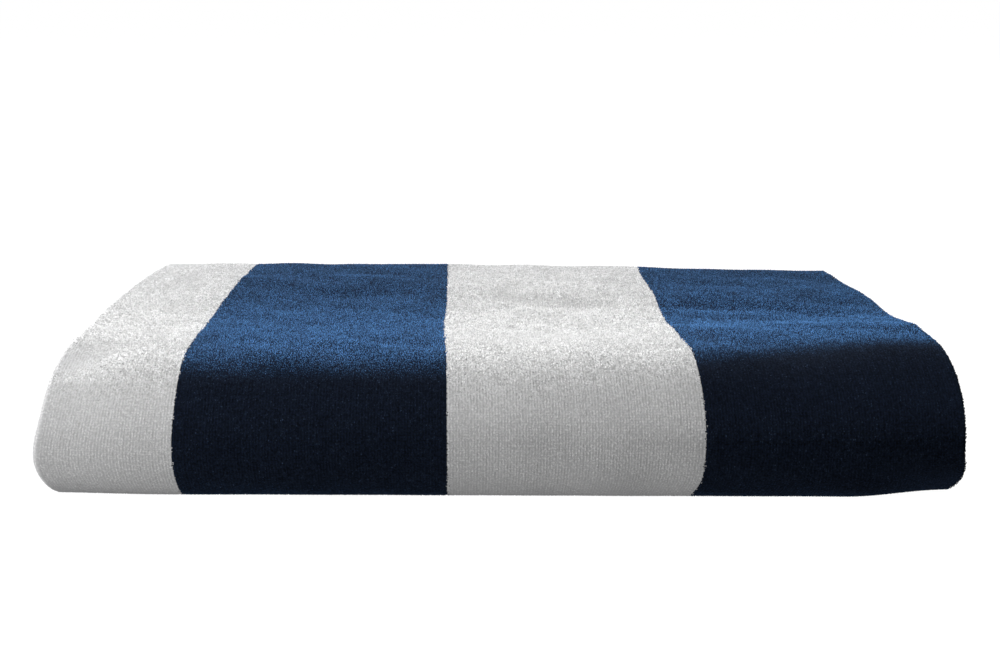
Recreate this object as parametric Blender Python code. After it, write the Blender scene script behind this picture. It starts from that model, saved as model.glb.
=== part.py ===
"""A striped beach towel, folded for the shelf: one sheet of terry cloth.

The towel is folded once along its length, so that it is two plies thick with the fold at the left,
and then in half three times across its length, which gives eight passes of that pair of plies.
Every pass and every turn between two passes is a stretch of the same closed sheet, hems and all.

Metres, +Z up, -Y is the front, where the nested turns show as one smooth rounded face.
The towel lies on z = 0 and its box is centred on the origin.
"""

import math

import bpy

# Driving sizes of the cloth
TOWEL_WIDTH = 0.752  # selvage to selvage
TOWEL_LENGTH = 1.780  # hem to hem
PLY_THICKNESS = 0.0025  # terry cloth under its own weight
PLY_PITCH = 0.00365  # from one ply to the next in the settled stack
FOLD_OFF_MIDDLE = 0.0020  # by this much more than half the width lies in the outer ply
HEM_DEPTH = 0.016
HEM_FULLNESS = 0.0002  # a hem is thicker than the cloth by this much on each face

# The stack, bottom pass 0 to top pass 7, in the order in which the towel's length runs through it.
# The towel starts and ends at the back, so the turns lie at the front, the back, the front and so on.
PASS_ORDER = (5, 2, 1, 6, 7, 0, 3, 4)
PASS_PITCH = 2 * PLY_PITCH
STACK_HEIGHT = len(PASS_ORDER) * PASS_PITCH

# The front turns nest around the middle of the stack. Depths are from the towel's foremost line.
FRONT_CENTRE = len(PASS_ORDER) / 2
SHOULDER_DEPTH = 0.040  # where the top starts to bend down
FOOT_DEPTH = 0.022  # where the underside comes to lie flat
TURN_SPACING = 0.0085  # from one nested turn to the next, looser than in the flat
FOOT_CENTRE_STEP = 0.0030  # each nested turn's foot lies this much further back

# A back turn reaches out by its half height times this
BACK_ROUNDNESS = 1.15

# One row a pass, from the bottom: how far its back end stops short of the rearmost line, and how
# far the pass slid to the right when it was folded
PASS_COLUMNS = ("pass", "short_of_back", "slid_right")
PASSES = (
    (0, 0.000, 0.0000),
    (1, 0.000, 0.0015),
    (2, 0.000, 0.0010),
    (3, 0.000, -0.0010),
    (4, 0.017, -0.0025),
    (5, 0.010, 0.0020),
    (6, 0.005, 0.0015),
    (7, 0.005, 0.0000),
)

# Soft ridges and troughs, one row each: the place seen from above, the half-widths and the rise of
# the top. The passes below rise and sink in proportion to their height.
SWELL_COLUMNS = ("x", "behind", "half_x", "half_behind", "rise")
SWELLS = (
    (0.000, 0.055, 0.500, 0.028, 0.0010),  # ridge behind the front shoulder
    (0.195, 0.074, 0.050, 0.030, 0.0015),  # its right end, the highest place
    (-0.100, 0.205, 0.200, 0.036, 0.0022),  # ridge before the back turns, on the left
    (0.170, 0.215, 0.080, 0.045, -0.0022),  # sunken right back
    (0.000, 0.122, 0.230, 0.030, -0.0022),  # trough along the middle
    (0.130, 0.108, 0.060, 0.018, -0.0016),  # its deep place on the right
    (-0.060, 0.152, 0.050, 0.010, -0.0009),  # crease behind the trough, in three stretches
    (0.030, 0.140, 0.050, 0.010, -0.0009),
    (0.110, 0.130, 0.050, 0.010, -0.0007),
    (-0.050, 0.178, 0.060, 0.012, 0.0006),  # and the edge that it dips from
    (0.040, 0.164, 0.060, 0.012, 0.0006),
    (-0.178, 0.040, 0.018, 0.018, -0.0030),  # dent at the left end of the shoulder
)

# Where the cloth stands out or is drawn in sideways, one row each: the place, the half-widths, and
# how far to the right
SHIFT_COLUMNS = ("x", "behind", "z", "half_x", "half_behind", "half_z", "right")
SHIFTS = (
    (-0.190, 0.240, 0.058, 0.080, 0.048, 0.060, 0.0080),  # drawn in at the left back
    (-0.190, 0.125, 0.058, 0.080, 0.040, 0.060, -0.0034),  # full in the middle of the left end
    (-0.190, 0.052, 0.050, 0.080, 0.030, 0.060, -0.0018),
    (0.190, 0.145, 0.058, 0.080, 0.040, 0.060, 0.0036),  # and of the right end
    (0.190, 0.085, 0.058, 0.080, 0.036, 0.060, 0.0030),
    (0.190, 0.034, 0.047, 0.060, 0.040, 0.016, 0.0062),  # beside the leaning shoulder
    (-0.190, 0.010, 0.019, 0.050, 0.034, 0.018, -0.0058),  # spread out at the foot of the corners
    (0.190, 0.010, 0.009, 0.050, 0.030, 0.014, 0.0048),
    (0.035, 0.090, 0.058, 0.110, 0.040, 0.030, -0.0020),  # slipped between the stripes
    (0.085, 0.240, 0.058, 0.050, 0.020, 0.030, 0.0024),
    (0.090, 0.005, 0.000, 0.050, 0.020, 0.008, -0.0040),
)

# The front corners, seen from above, fall back from the foremost line, and more so at the foot
CORNER_COLUMNS = ("end", "start", "length", "depth", "foot_depth")
CORNERS = (
    (-1, 0.140, 0.055, 0.0030, 0.0000),
    (1, 0.145, 0.045, 0.0050, 0.0060),
)
CORNER_FADE = 0.060  # no longer seen this far behind the front
FOOT_HEIGHT = 0.024

# Towards the right end the shoulder leans back
LEAN_DEPTH = 0.016
LEAN_START = 0.020  # right of the middle
LEAN_LENGTH = 0.170
LEAN_FOOT = 0.028  # the face below this height stays upright
LEAN_FADE = 0.170

# The folding left the pile slightly out of square
SIDE_SKEW = -0.013  # sideways for each step back
FRONT_SKEW = -0.009  # forwards for each step to the right

# How finely the sheet is divided: shares of a pass from its front end, steps of a turn, and shares
# of the width from the left fold
PASS_SHARES = (0.0, 0.07, 0.16, 0.27, 0.38, 0.48, 0.56, 0.63, 0.71, 0.84, 1.0)
TURN_STEPS_MIN = 4
TURN_STEPS_PER_LEVEL = 1.4
FACE_SHARES = (0.0, 0.03, 0.08, 0.17, 0.28, 0.40, 0.52, 0.64, 0.76, 0.87, 0.95, 1.0)
INNER_FACE_SHARES = (0.0, 0.2, 0.5, 0.8, 1.0)
OUTER_FOLD_STEPS = 5
INNER_FOLD_STEPS = 2
HEM_STEP = 0.0015  # length over which a hem's edge rises

TERRY_NAVY = (0.012, 0.022, 0.055, 1.0)
TERRY_ROUGHNESS = 0.95

# Offsets from the middle of the pair of plies to its outer faces, and to the faces inside it
PAIR_OUT = (PLY_PITCH + PLY_THICKNESS) / 2
PAIR_IN = (PLY_PITCH - PLY_THICKNESS) / 2
UNDERSIDE = PASS_PITCH / 2 - PAIR_OUT
# The fold's middle line is a half circle, and each ply takes half of it
FOLD_ARC = math.pi * PLY_PITCH / 4
OUTER_PLY_REACH = TOWEL_WIDTH / 2 + FOLD_OFF_MIDDLE - FOLD_ARC + PAIR_OUT
INNER_PLY_REACH = OUTER_PLY_REACH - 2 * FOLD_OFF_MIDDLE


def clear_scene():
    for thing in list(bpy.data.objects):
        bpy.data.objects.remove(thing)


def rows(table, columns):
    return [dict(zip(columns, values)) for values in table]


def smooth(share):
    share = min(max(share, 0.0), 1.0)
    return share * share * (3 - 2 * share)


def hump(distance, half_width):
    return math.exp(-((distance / half_width) ** 2))


def above_ground(level):
    """Height of a level of the stack, counted in passes, over the towel's underside."""
    return level * PASS_PITCH - UNDERSIDE


def front_turn(level, angle):
    """Depth and height of a front turn that starts at this level, at this angle above the middle."""
    across = abs(level - FRONT_CENTRE)
    inwards = FRONT_CENTRE - across
    if angle >= 0:
        centre = SHOULDER_DEPTH
        reach = SHOULDER_DEPTH - inwards * TURN_SPACING
    else:
        centre = FOOT_DEPTH + inwards * FOOT_CENTRE_STEP
        reach = across * FOOT_DEPTH / FRONT_CENTRE
    return centre - reach * math.cos(angle), above_ground(FRONT_CENTRE + across * math.sin(angle))


def front_end(level):
    """Depth at which a pass at this level leaves its front turn."""
    angle = math.copysign(math.pi / 2, level - FRONT_CENTRE)
    return front_turn(level, angle)[0]


def legs():
    """The towel's length as a list of passes and of the turns between them."""
    by_place = {row["pass"]: row for row in rows(PASSES, PASS_COLUMNS)}
    order = [by_place[place] for place in PASS_ORDER]
    found = []
    for index, row in enumerate(order):
        to_front = index % 2 == 0
        hemmed = index in (0, len(order) - 1)
        found.append({"kind": "pass", "row": row, "to_front": to_front, "hemmed": hemmed})
        if index + 1 < len(order):
            found.append({"kind": "turn", "row": row, "next": order[index + 1], "front": to_front})
    return found


def turn_length(leg):
    """Length of the middle line of a turn, as two quarters of ellipses."""
    levels = (leg["row"]["pass"] + 0.5, leg["next"]["pass"] + 0.5)
    half_height = abs(levels[0] - levels[1]) / 2 * PASS_PITCH
    if leg["front"]:
        reaches = [front_end(level) - front_turn(level, 0.0)[0] for level in levels]
    else:
        reaches = [half_height * BACK_ROUNDNESS] * 2
    return sum(math.pi / 2 * math.sqrt((half_height**2 + reach**2) / 2) for reach in reaches)


def back_line():
    """Depth at which the back turns start, so that the passes and turns use up the towel's length."""
    turns = sum(turn_length(leg) for leg in legs() if leg["kind"] == "turn")
    not_used = sum(
        front_end(row["pass"] + 0.5) + row["short_of_back"] for row in rows(PASSES, PASS_COLUMNS)
    )
    return (TOWEL_LENGTH - turns + not_used) / len(PASS_ORDER)


def pass_stations(leg, rear):
    """Stations along a pass. Each gives a place for every offset, the slide and the hem's fullness."""
    row = leg["row"]
    side = 1 if leg["to_front"] else -1
    end = rear - row["short_of_back"]
    length = end - front_end(row["pass"] + 0.5)
    shares = [(share, 0.0) for share in PASS_SHARES]
    if leg["hemmed"]:
        hem_share, step_share = HEM_DEPTH / length, HEM_STEP / length
        shares = [(share, full) for share, full in shares if share < 1 - hem_share - 2 * step_share]
        shares += [(1 - hem_share - step_share, 0.0), (1 - hem_share, HEM_FULLNESS)]
        shares += [(1 - hem_share / 2, HEM_FULLNESS), (1.0, HEM_FULLNESS)]
    if leg["to_front"]:
        shares.reverse()
    for share, fullness in shares:

        def place(offset, share=share):
            level = row["pass"] + 0.5 + side * offset / PASS_PITCH
            start = front_end(level)
            return start + (end - start) * share, above_ground(level)

        yield place, row["slid_right"], fullness


def turn_stations(leg, rear):
    """Stations along a turn, without its two ends, which belong to the passes."""
    first, last = leg["row"]["pass"] + 0.5, leg["next"]["pass"] + 0.5
    centre, half_levels = (first + last) / 2, abs(first - last) / 2
    from_top = math.copysign(1, first - last)
    side = from_top if leg["front"] else -from_top
    start = rear - leg["row"]["short_of_back"]
    steps = TURN_STEPS_MIN + round(TURN_STEPS_PER_LEVEL * 2 * half_levels)
    for step in range(1, steps):
        angle = from_top * math.pi * (0.5 - step / steps)

        def place(offset, angle=angle):
            across = half_levels + side * offset / PASS_PITCH
            if leg["front"]:
                return front_turn(centre + across, angle)
            depth = start + across * PASS_PITCH * BACK_ROUNDNESS * math.cos(angle)
            return depth, above_ground(centre + across * math.sin(angle))

        slid_first, slid_last = leg["row"]["slid_right"], leg["next"]["slid_right"]
        yield place, slid_first + (slid_last - slid_first) * smooth(step / steps), 0.0


def stations():
    rear = back_line()
    for leg in legs():
        yield from (pass_stations if leg["kind"] == "pass" else turn_stations)(leg, rear)


def fold(radius, steps):
    """The fold at the left, from the outer ply round to the inner one, without its two ends."""
    centre = PAIR_OUT - OUTER_PLY_REACH / 2
    for step in range(1, steps):
        angle = math.pi * (0.5 - step / steps)
        yield centre - radius * math.cos(angle), radius * math.sin(angle)


def face(shares, reach):
    """Places across the width on one face of a ply, from the fold to the selvage."""
    start = PAIR_OUT - OUTER_PLY_REACH / 2
    return [start + (reach - PAIR_OUT) * share for share in shares]


def section(fullness):
    """The pair of plies cut across: a flat U with its fold at the left, as x and offset."""
    out, into = PAIR_OUT + fullness, PAIR_IN - fullness
    outline = [(x, out) for x in reversed(face(FACE_SHARES, OUTER_PLY_REACH))]
    outline += fold(out, OUTER_FOLD_STEPS)
    outline += [(x, -out) for x in face(FACE_SHARES, INNER_PLY_REACH)]
    outline += [(x, -into) for x in reversed(face(INNER_FACE_SHARES, INNER_PLY_REACH))]
    outline += reversed(list(fold(into, INNER_FOLD_STEPS)))
    outline += [(x, into) for x in face(INNER_FACE_SHARES, OUTER_PLY_REACH)]
    return outline


def settled(x, behind, z):
    """A point of the regular stack moved to where the soft cloth lies."""
    rise = sum(
        row["rise"]
        * hump(x - row["x"], row["half_x"])
        * hump(behind - row["behind"], row["half_behind"])
        for row in rows(SWELLS, SWELL_COLUMNS)
    )
    right = sum(
        row["right"]
        * hump(x - row["x"], row["half_x"])
        * hump(behind - row["behind"], row["half_behind"])
        * hump(z - row["z"], row["half_z"])
        for row in rows(SHIFTS, SHIFT_COLUMNS)
    )
    back = sum(
        (row["depth"] + row["foot_depth"] * (1 - smooth(z / FOOT_HEIGHT)))
        * smooth((x * row["end"] - row["start"]) / row["length"])
        for row in rows(CORNERS, CORNER_COLUMNS)
    )
    lean = smooth((x - LEAN_START) / LEAN_LENGTH) * smooth((z - LEAN_FOOT) / (STACK_HEIGHT - LEAN_FOOT))
    return (
        x + right + SIDE_SKEW * behind,
        behind
        + back * (1 - smooth(behind / CORNER_FADE))
        + LEAN_DEPTH * lean * (1 - smooth(behind / LEAN_FADE))
        + FRONT_SKEW * x,
        z * (1 + rise / STACK_HEIGHT),
    )


def sheet_rings():
    """One ring of points for each station along the towel's length, centred and on the ground."""
    rings = []
    for place, slid, fullness in stations():
        ring = []
        for x, offset in section(fullness):
            behind, z = place(offset)
            ring.append(settled(x + slid, behind, z))
        rings.append(ring)
    xs, ys, zs = zip(*(point for ring in rings for point in ring))
    middle_x, middle_y, ground = (min(xs) + max(xs)) / 2, (min(ys) + max(ys)) / 2, min(zs)
    return [[(x - middle_x, y - middle_y, z - ground) for x, y, z in ring] for ring in rings]


def sheet_faces(ring_count, around):
    """Faces between neighbouring rings, and one at each end of the towel."""
    faces = [tuple(reversed(range(around)))]
    for near in range(0, (ring_count - 1) * around, around):
        for point in range(around):
            after = (point + 1) % around
            faces.append((near + point, near + after, near + around + after, near + around + point))
    last = (ring_count - 1) * around
    faces.append(tuple(range(last, last + around)))
    return faces


def terry():
    material = bpy.data.materials.new("terry_navy")
    material.use_nodes = True
    shader = material.node_tree.nodes["Principled BSDF"]
    shader.inputs["Base Color"].default_value = TERRY_NAVY
    shader.inputs["Roughness"].default_value = TERRY_ROUGHNESS
    shader.inputs["Metallic"].default_value = 0.0
    return material


def build_towel():
    rings = sheet_rings()
    points = [point for ring in rings for point in ring]
    mesh = bpy.data.meshes.new("towel")
    mesh.from_pydata(points, [], sheet_faces(len(rings), len(rings[0])))
    mesh.materials.append(terry())
    mesh.validate()
    mesh.shade_smooth()
    mesh.set_sharp_from_angle(angle=math.radians(50))
    towel = bpy.data.objects.new("towel", mesh)
    bpy.context.scene.collection.objects.link(towel)


clear_scene()
build_towel()
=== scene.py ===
import math

import bpy
import numpy as np
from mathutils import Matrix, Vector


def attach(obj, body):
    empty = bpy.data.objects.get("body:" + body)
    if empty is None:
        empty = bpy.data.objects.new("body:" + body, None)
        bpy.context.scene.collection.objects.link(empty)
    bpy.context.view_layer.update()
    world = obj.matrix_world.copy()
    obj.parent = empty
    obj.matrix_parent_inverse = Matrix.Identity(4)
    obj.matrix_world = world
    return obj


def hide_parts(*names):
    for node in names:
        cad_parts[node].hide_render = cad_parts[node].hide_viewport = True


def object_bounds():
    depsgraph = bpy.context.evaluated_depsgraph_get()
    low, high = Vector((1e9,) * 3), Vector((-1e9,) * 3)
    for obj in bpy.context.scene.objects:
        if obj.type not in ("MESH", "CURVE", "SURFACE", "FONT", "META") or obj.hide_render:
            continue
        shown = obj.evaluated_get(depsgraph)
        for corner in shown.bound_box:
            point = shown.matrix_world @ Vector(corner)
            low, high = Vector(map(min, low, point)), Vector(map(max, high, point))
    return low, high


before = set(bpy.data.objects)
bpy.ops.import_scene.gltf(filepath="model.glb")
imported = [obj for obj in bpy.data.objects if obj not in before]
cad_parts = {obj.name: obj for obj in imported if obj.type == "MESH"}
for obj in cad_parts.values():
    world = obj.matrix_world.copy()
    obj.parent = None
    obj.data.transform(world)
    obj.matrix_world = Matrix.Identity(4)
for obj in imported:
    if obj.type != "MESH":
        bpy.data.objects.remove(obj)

# A striped beach towel of terry cloth, folded for the shelf. One sheet carries the pile as tufts,
# column by column, so the stripes, the ribs and the nap all follow the cloth round its folds.
# Metres. The front is at -Y, and depths are called "behind": how far behind the foremost line.

cadLow, cadHigh = [list(corner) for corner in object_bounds()]

towelFold = {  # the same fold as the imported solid's
    "width": 0.752,
    "length": 1.780,
    "plyThickness": 0.0025,
    "plyPitch": 0.00365,
    "foldOffMiddle": 0.0020,
    "passOrder": (5, 2, 1, 6, 7, 0, 3, 4),
    "shortOfBack": (0, 0, 0, 0, 0.017, 0.010, 0.005, 0.005),
    "slidRight": (0, 0.0015, 0.0010, -0.0010, -0.0025, 0.0020, 0.0015, 0),
    "shoulderDepth": 0.040,
    "footDepth": 0.022,
    "turnSpacing": 0.0085,
    "footCentreStep": 0.0030,
    "backRoundness": 1.15,
    "sideSkew": -0.013,
    "frontSkew": -0.009,
    "centre": (0.00044, 0.12265),  # x and behind of the middle of the folded towel
}
clothMake = {
    "pileInset": 0.00035,  # the ground weave lies this far inside the tips of the pile
    "frontFadeStart": 0.72,  # share of the front turn where it starts to come out, below
    "frontFadeLength": 0.24,
    "backFadeLength": 0.25,  # share of the back turn over which it goes in again
    "wavesFromFold": 0.03,
    "hemDepth": 0.016,
    "hemFullness": 0.0003,
    "hemRounding": 0.0015,
    "hemTaper": 2.5,  # how much thinner it is at its very end, as a share of its fullness
    "seamHalf": 0.0009,
    "seamShare": 0.6,  # of the hem's fullness, drawn in by its stitches
    "outerColumn": 0.0040,
    "innerColumn": 0.0160,
    "leastColumn": 0.001,
    "seenRow": 0.0030,
    "hiddenRow": 0.0150,
    "hemRow": 0.0012,
    "fewestTurnRows": 12,
    "fewestPassRows": 8,
    "foldPoints": 11,
    "innerFoldPoints": 3,
    "selvageAngles": (60, 25, -25, -60),  # in degrees, as those of the pile below
}
stripeEnds = (0.1061, 0.2117, 0.3232, 0.4288, 0.5403, 0.6459, 0.752)  # from the outer selvage
leanBack = {"depth": 0.016, "start": 0.020, "length": 0.170, "foot": 0.028, "fade": 0.170}
cornerBacks = (  # end, start, length, depth, more at the foot
    (-1, 0.140, 0.055, 0.0030, 0.0000),
    (1, 0.145, 0.045, 0.0050, 0.0060),
)
cornerFade = {"behind": 0.060, "foot": 0.024}
swells = (  # x, behind, half x, half behind, rise
    (0.000, 0.055, 0.500, 0.028, 0.0010),
    (0.195, 0.074, 0.050, 0.030, 0.0015),
    (-0.100, 0.205, 0.200, 0.036, 0.0022),
    (0.170, 0.215, 0.080, 0.045, -0.0022),
    (0.000, 0.122, 0.230, 0.030, -0.0022),
    (0.130, 0.108, 0.060, 0.018, -0.0016),
    (-0.060, 0.152, 0.050, 0.010, -0.0009),
    (0.030, 0.140, 0.050, 0.010, -0.0009),
    (0.110, 0.130, 0.050, 0.010, -0.0007),
    (-0.050, 0.178, 0.060, 0.012, 0.0006),
    (0.040, 0.164, 0.060, 0.012, 0.0006),
    (-0.178, 0.040, 0.018, 0.018, -0.0030),
)
shifts = (  # x, behind, z, half x, half behind, half z, right
    (-0.190, 0.240, 0.058, 0.080, 0.048, 0.060, 0.0080),
    (-0.190, 0.125, 0.058, 0.080, 0.040, 0.060, -0.0034),
    (-0.190, 0.052, 0.050, 0.080, 0.030, 0.060, -0.0018),
    (0.190, 0.145, 0.058, 0.080, 0.040, 0.060, 0.0036),
    (0.190, 0.085, 0.058, 0.080, 0.036, 0.060, 0.0030),
    (0.190, 0.034, 0.047, 0.060, 0.040, 0.016, 0.0062),
    (-0.190, 0.010, 0.019, 0.050, 0.034, 0.018, -0.0058),
    (0.190, 0.010, 0.009, 0.050, 0.030, 0.014, 0.0048),
    (0.035, 0.090, 0.058, 0.110, 0.040, 0.030, -0.0020),
    (0.085, 0.240, 0.058, 0.050, 0.020, 0.030, 0.0024),
    (0.090, 0.005, 0.000, 0.050, 0.020, 0.008, -0.0040),
)
# Soft creases of the top ply alone: x, behind, half x, half behind, rise
topCreases = (
    (-0.060, 0.158, 0.030, 0.006, -0.0006),
    (0.000, 0.148, 0.030, 0.005, -0.0005),
    (0.050, 0.140, 0.030, 0.006, -0.0006),
    (0.095, 0.134, 0.026, 0.005, -0.0005),
    (-0.133, 0.196, 0.022, 0.005, -0.0006),
    (-0.068, 0.196, 0.018, 0.005, -0.0006),
    (0.124, 0.181, 0.014, 0.006, -0.0006),
    (0.137, 0.204, 0.012, 0.006, -0.0005),
    (0.182, 0.118, 0.012, 0.008, -0.0007),
    (-0.010, 0.212, 0.035, 0.007, -0.0004),
    (-0.182, 0.026, 0.012, 0.016, -0.0026),  # deepens the dent at the left end of the shoulder
    (-0.150, 0.052, 0.022, 0.005, -0.0006),
)
creaseFade = 5  # the power with which a crease dies away further down
softWaves = {"seed": 4, "count": 14, "shortest": 0.018, "longest": 0.060, "height": 0.00009}

passPitch = 2 * towelFold["plyPitch"]
passCount = len(towelFold["passOrder"])
stackHeight = passCount * passPitch
middleLevel = passCount / 2
pairOut = (towelFold["plyPitch"] + towelFold["plyThickness"]) / 2
pairIn = (towelFold["plyPitch"] - towelFold["plyThickness"]) / 2
foldArc = math.pi * towelFold["plyPitch"] / 4
outerReach = towelFold["width"] / 2 + towelFold["foldOffMiddle"]  # flat, from the fold to a selvage
innerReach = towelFold["width"] - outerReach
faceStart = pairOut - (outerReach - foldArc + pairOut) / 2  # x at which the flat faces start


def smooth(share):
    share = np.clip(share, 0, 1)
    return share * share * (3 - 2 * share)


def hump(distance, halfWidth):
    return np.exp(-((distance / halfWidth) ** 2))


def aboveGround(level):
    return (level - 0.5) * passPitch + pairOut


def frontTurn(level, angle):
    across = np.abs(level - middleLevel)
    inwards = middleLevel - across
    upper = np.asarray(angle) >= 0
    lowerCentre = towelFold["footDepth"] + inwards * towelFold["footCentreStep"]
    centre = np.where(upper, towelFold["shoulderDepth"], lowerCentre)
    upperReach = towelFold["shoulderDepth"] - inwards * towelFold["turnSpacing"]
    reach = np.where(upper, upperReach, across * towelFold["footDepth"] / middleLevel)
    return centre - reach * np.cos(angle), aboveGround(middleLevel + across * np.sin(angle))


def frontEnd(level):
    inwards = middleLevel - np.abs(level - middleLevel)
    lower = towelFold["footDepth"] + inwards * towelFold["footCentreStep"]
    return np.where(level > middleLevel, towelFold["shoulderDepth"], lower)


def turnLength(first, last, front):
    levels = (first + 0.5, last + 0.5)
    halfHeight = abs(first - last) / 2 * passPitch
    if front:
        reaches = [float(frontEnd(level) - frontTurn(level, 0.0)[0]) for level in levels]
    else:
        reaches = [halfHeight * towelFold["backRoundness"]] * 2
    return sum(math.pi / 2 * math.sqrt((halfHeight**2 + reach**2) / 2) for reach in reaches)


def runOfTheCloth():
    # Passes and turns in the order in which the towel's length runs through them
    order = towelFold["passOrder"]
    turns = [turnLength(order[i], order[i + 1], i % 2 == 0) for i in range(passCount - 1)]
    notUsed = sum(float(frontEnd(level + 0.5)) + towelFold["shortOfBack"][level] for level in order)
    rear = (towelFold["length"] - sum(turns) + notUsed) / passCount
    legs, run = [], 0.0
    for index, level in enumerate(order):
        toFront = index % 2 == 0
        leg = {
            "name": "pass%d" % level,
            "turn": False,
            "level": level + 0.5,
            "side": 1 if toFront else -1,
            "toFront": toFront,
            "end": rear - towelFold["shortOfBack"][level],
            "slides": (towelFold["slidRight"][level],) * 2,
            "hemmed": index in (0, passCount - 1),
            "run": run,
        }
        leg["length"] = leg["end"] - float(frontEnd(level + 0.5))
        run += leg["length"]
        legs.append(leg)
        if index + 1 == passCount:
            break
        following = order[index + 1]
        fromTop = math.copysign(1, level - following)
        turn = {
            "name": "%s%dto%d" % ("front" if toFront else "back", level, following),
            "turn": True,
            "front": toFront,
            "centre": (level + following + 1) / 2,
            "half": abs(level - following) / 2,
            "fromTop": fromTop,
            "side": fromTop if toFront else -fromTop,
            "start": rear - towelFold["shortOfBack"][level],
            "slides": (towelFold["slidRight"][level], towelFold["slidRight"][following]),
            "length": turns[index],
            "run": run,
        }
        run += turn["length"]
        legs.append(turn)
    return legs


def placeOn(leg, along, offset):
    # Depth and height at a share of a leg's length, at an offset from the middle of the pair
    if not leg["turn"]:
        level = leg["level"] + leg["side"] * offset / passPitch
        start = frontEnd(level)
        share = 1 - along if leg["toFront"] else along
        return start + (leg["end"] - start) * share, aboveGround(level)
    across = leg["half"] + leg["side"] * offset / passPitch
    angle = leg["fromTop"] * math.pi * (0.5 - along)
    if leg["front"]:
        return frontTurn(leg["centre"] + across, angle)
    depth = leg["start"] + across * passPitch * towelFold["backRoundness"] * np.cos(angle)
    return depth, aboveGround(leg["centre"] + across * np.sin(angle))


def settled(x, behind, z):
    # Points of the regular stack moved to where the soft cloth lies, on the ground and centred
    rise = sum(
        up * hump(x - atX, halfX) * hump(behind - at, half)
        for atX, at, halfX, half, up in swells
    )
    crease = sum(
        up * hump(x - atX, halfX) * hump(behind - at, half)
        for atX, at, halfX, half, up in topCreases
    )
    right = sum(
        by * hump(x - atX, halfX) * hump(behind - at, half) * hump(z - atZ, halfZ)
        for atX, at, atZ, halfX, half, halfZ, by in shifts
    )
    back = sum(
        (depth + more * (1 - smooth(z / cornerFade["foot"]))) * smooth((x * end - start) / length)
        for end, start, length, depth, more in cornerBacks
    )
    lean = smooth((x - leanBack["start"]) / leanBack["length"])
    lean = lean * smooth((z - leanBack["foot"]) / (stackHeight - leanBack["foot"]))
    newX = x + right + towelFold["sideSkew"] * behind
    newBehind = (
        behind
        + back * (1 - smooth(behind / cornerFade["behind"]))
        + leanBack["depth"] * lean * (1 - smooth(behind / leanBack["fade"]))
        + towelFold["frontSkew"] * x
    )
    newZ = z * (1 + rise / stackHeight)
    newZ = newZ + crease * (np.clip(z, 0, None) / stackHeight) ** creaseFade
    centreX, centreBehind = towelFold["centre"]
    return np.stack(np.broadcast_arrays(newX - centreX, newBehind - centreBehind, newZ), -1)


def waviness(flatX, run):
    # Small soft unevenness of the outer ply, as lengths along its normal
    draw = np.random.default_rng(softWaves["seed"])
    total = 0.0
    for _ in range(softWaves["count"]):
        length = draw.uniform(softWaves["shortest"], softWaves["longest"])
        heading = draw.uniform(0, math.pi)
        phase = draw.uniform(0, 2 * math.pi)
        towards = flatX * math.cos(heading) + run * math.sin(heading)
        total = total + softWaves["height"] * np.sin(2 * math.pi * towards / length + phase)
    return total


def outerOffset(leg, along, flatX):
    # Where the ground weave's outer face lies: just inside the pile, but full on the underside
    wave = waviness(flatX, leg["run"] + along * leg["length"])
    wave = wave * smooth((flatX - foldArc) / clothMake["wavesFromFold"])
    if leg["name"] == "pass0":
        share = 0.0
    elif leg["name"] == "front7to0":
        share = 1 - smooth((along - clothMake["frontFadeStart"]) / clothMake["frontFadeLength"])
    elif leg["name"] == "back0to3":
        share = smooth(along / clothMake["backFadeLength"])
    else:
        share = 1.0
    return pairOut + (wave - clothMake["pileInset"]) * share


legs = runOfTheCloth()
legOf = {leg["name"]: leg for leg in legs}
seenLegs = ("pass7", "front7to0", "back6to7", "back0to3")


def stations(leg):
    # Shares of a leg's length at which the sheet has a ring of points
    row = clothMake["seenRow"] if leg["name"] in seenLegs else clothMake["hiddenRow"]
    fewest = clothMake["fewestTurnRows"] if leg["turn"] else clothMake["fewestPassRows"]
    steps = max(round(leg["length"] / row), fewest)
    if leg["turn"]:
        return [step / steps for step in range(1, steps)]
    shares = [step / steps for step in range(steps + 1)]
    if leg["hemmed"]:
        hem = clothMake["hemDepth"] / leg["length"]
        edge = clothMake["hemRow"] / leg["length"]
        keep = [share for share in shares if share < 1 - hem - 2 * edge]
        shares = keep + [1 - hem - edge, 1 - hem, 1 - hem + edge, 1 - hem / 2, 1 - edge, 1.0]
        if leg["toFront"]:
            shares = [1 - share for share in reversed(shares)]
    return shares


def hemFullness(leg, along):
    # How much further out a hem's faces lie: rounded at the end and drawn in at the seam
    if leg["turn"] or not leg["hemmed"]:
        return 0.0
    fromEnd = (along if leg["toFront"] else 1 - along) * leg["length"]
    depth, rounding = clothMake["hemDepth"], clothMake["hemRounding"]
    seam = clothMake["seamShare"] * hump(fromEnd - depth + rounding, clothMake["seamHalf"])
    rounded = 1 - clothMake["hemTaper"] * (1 - smooth(fromEnd / rounding))
    return clothMake["hemFullness"] * (smooth((depth - fromEnd) / rounding) * rounded - seam)


def columnsTo(reach, spacing, selvageFirst):
    # Flat distances from the fold, with one at every stripe's end
    ends = [outerReach - end if selvageFirst else end - outerReach for end in stripeEnds]
    least = clothMake["leastColumn"]
    ends = sorted(end for end in ends if foldArc + least < end < reach - least)
    stops = [foldArc, *ends, reach - towelFold["plyThickness"] / 2]
    found = []
    for first, last in zip(stops, stops[1:]):
        found += list(np.linspace(first, last, max(round((last - first) / spacing), 1) + 1)[:-1])
    return np.array([*found, stops[-1]])


selvageAngles = np.array(clothMake["selvageAngles"]) * math.pi / 180


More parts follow.
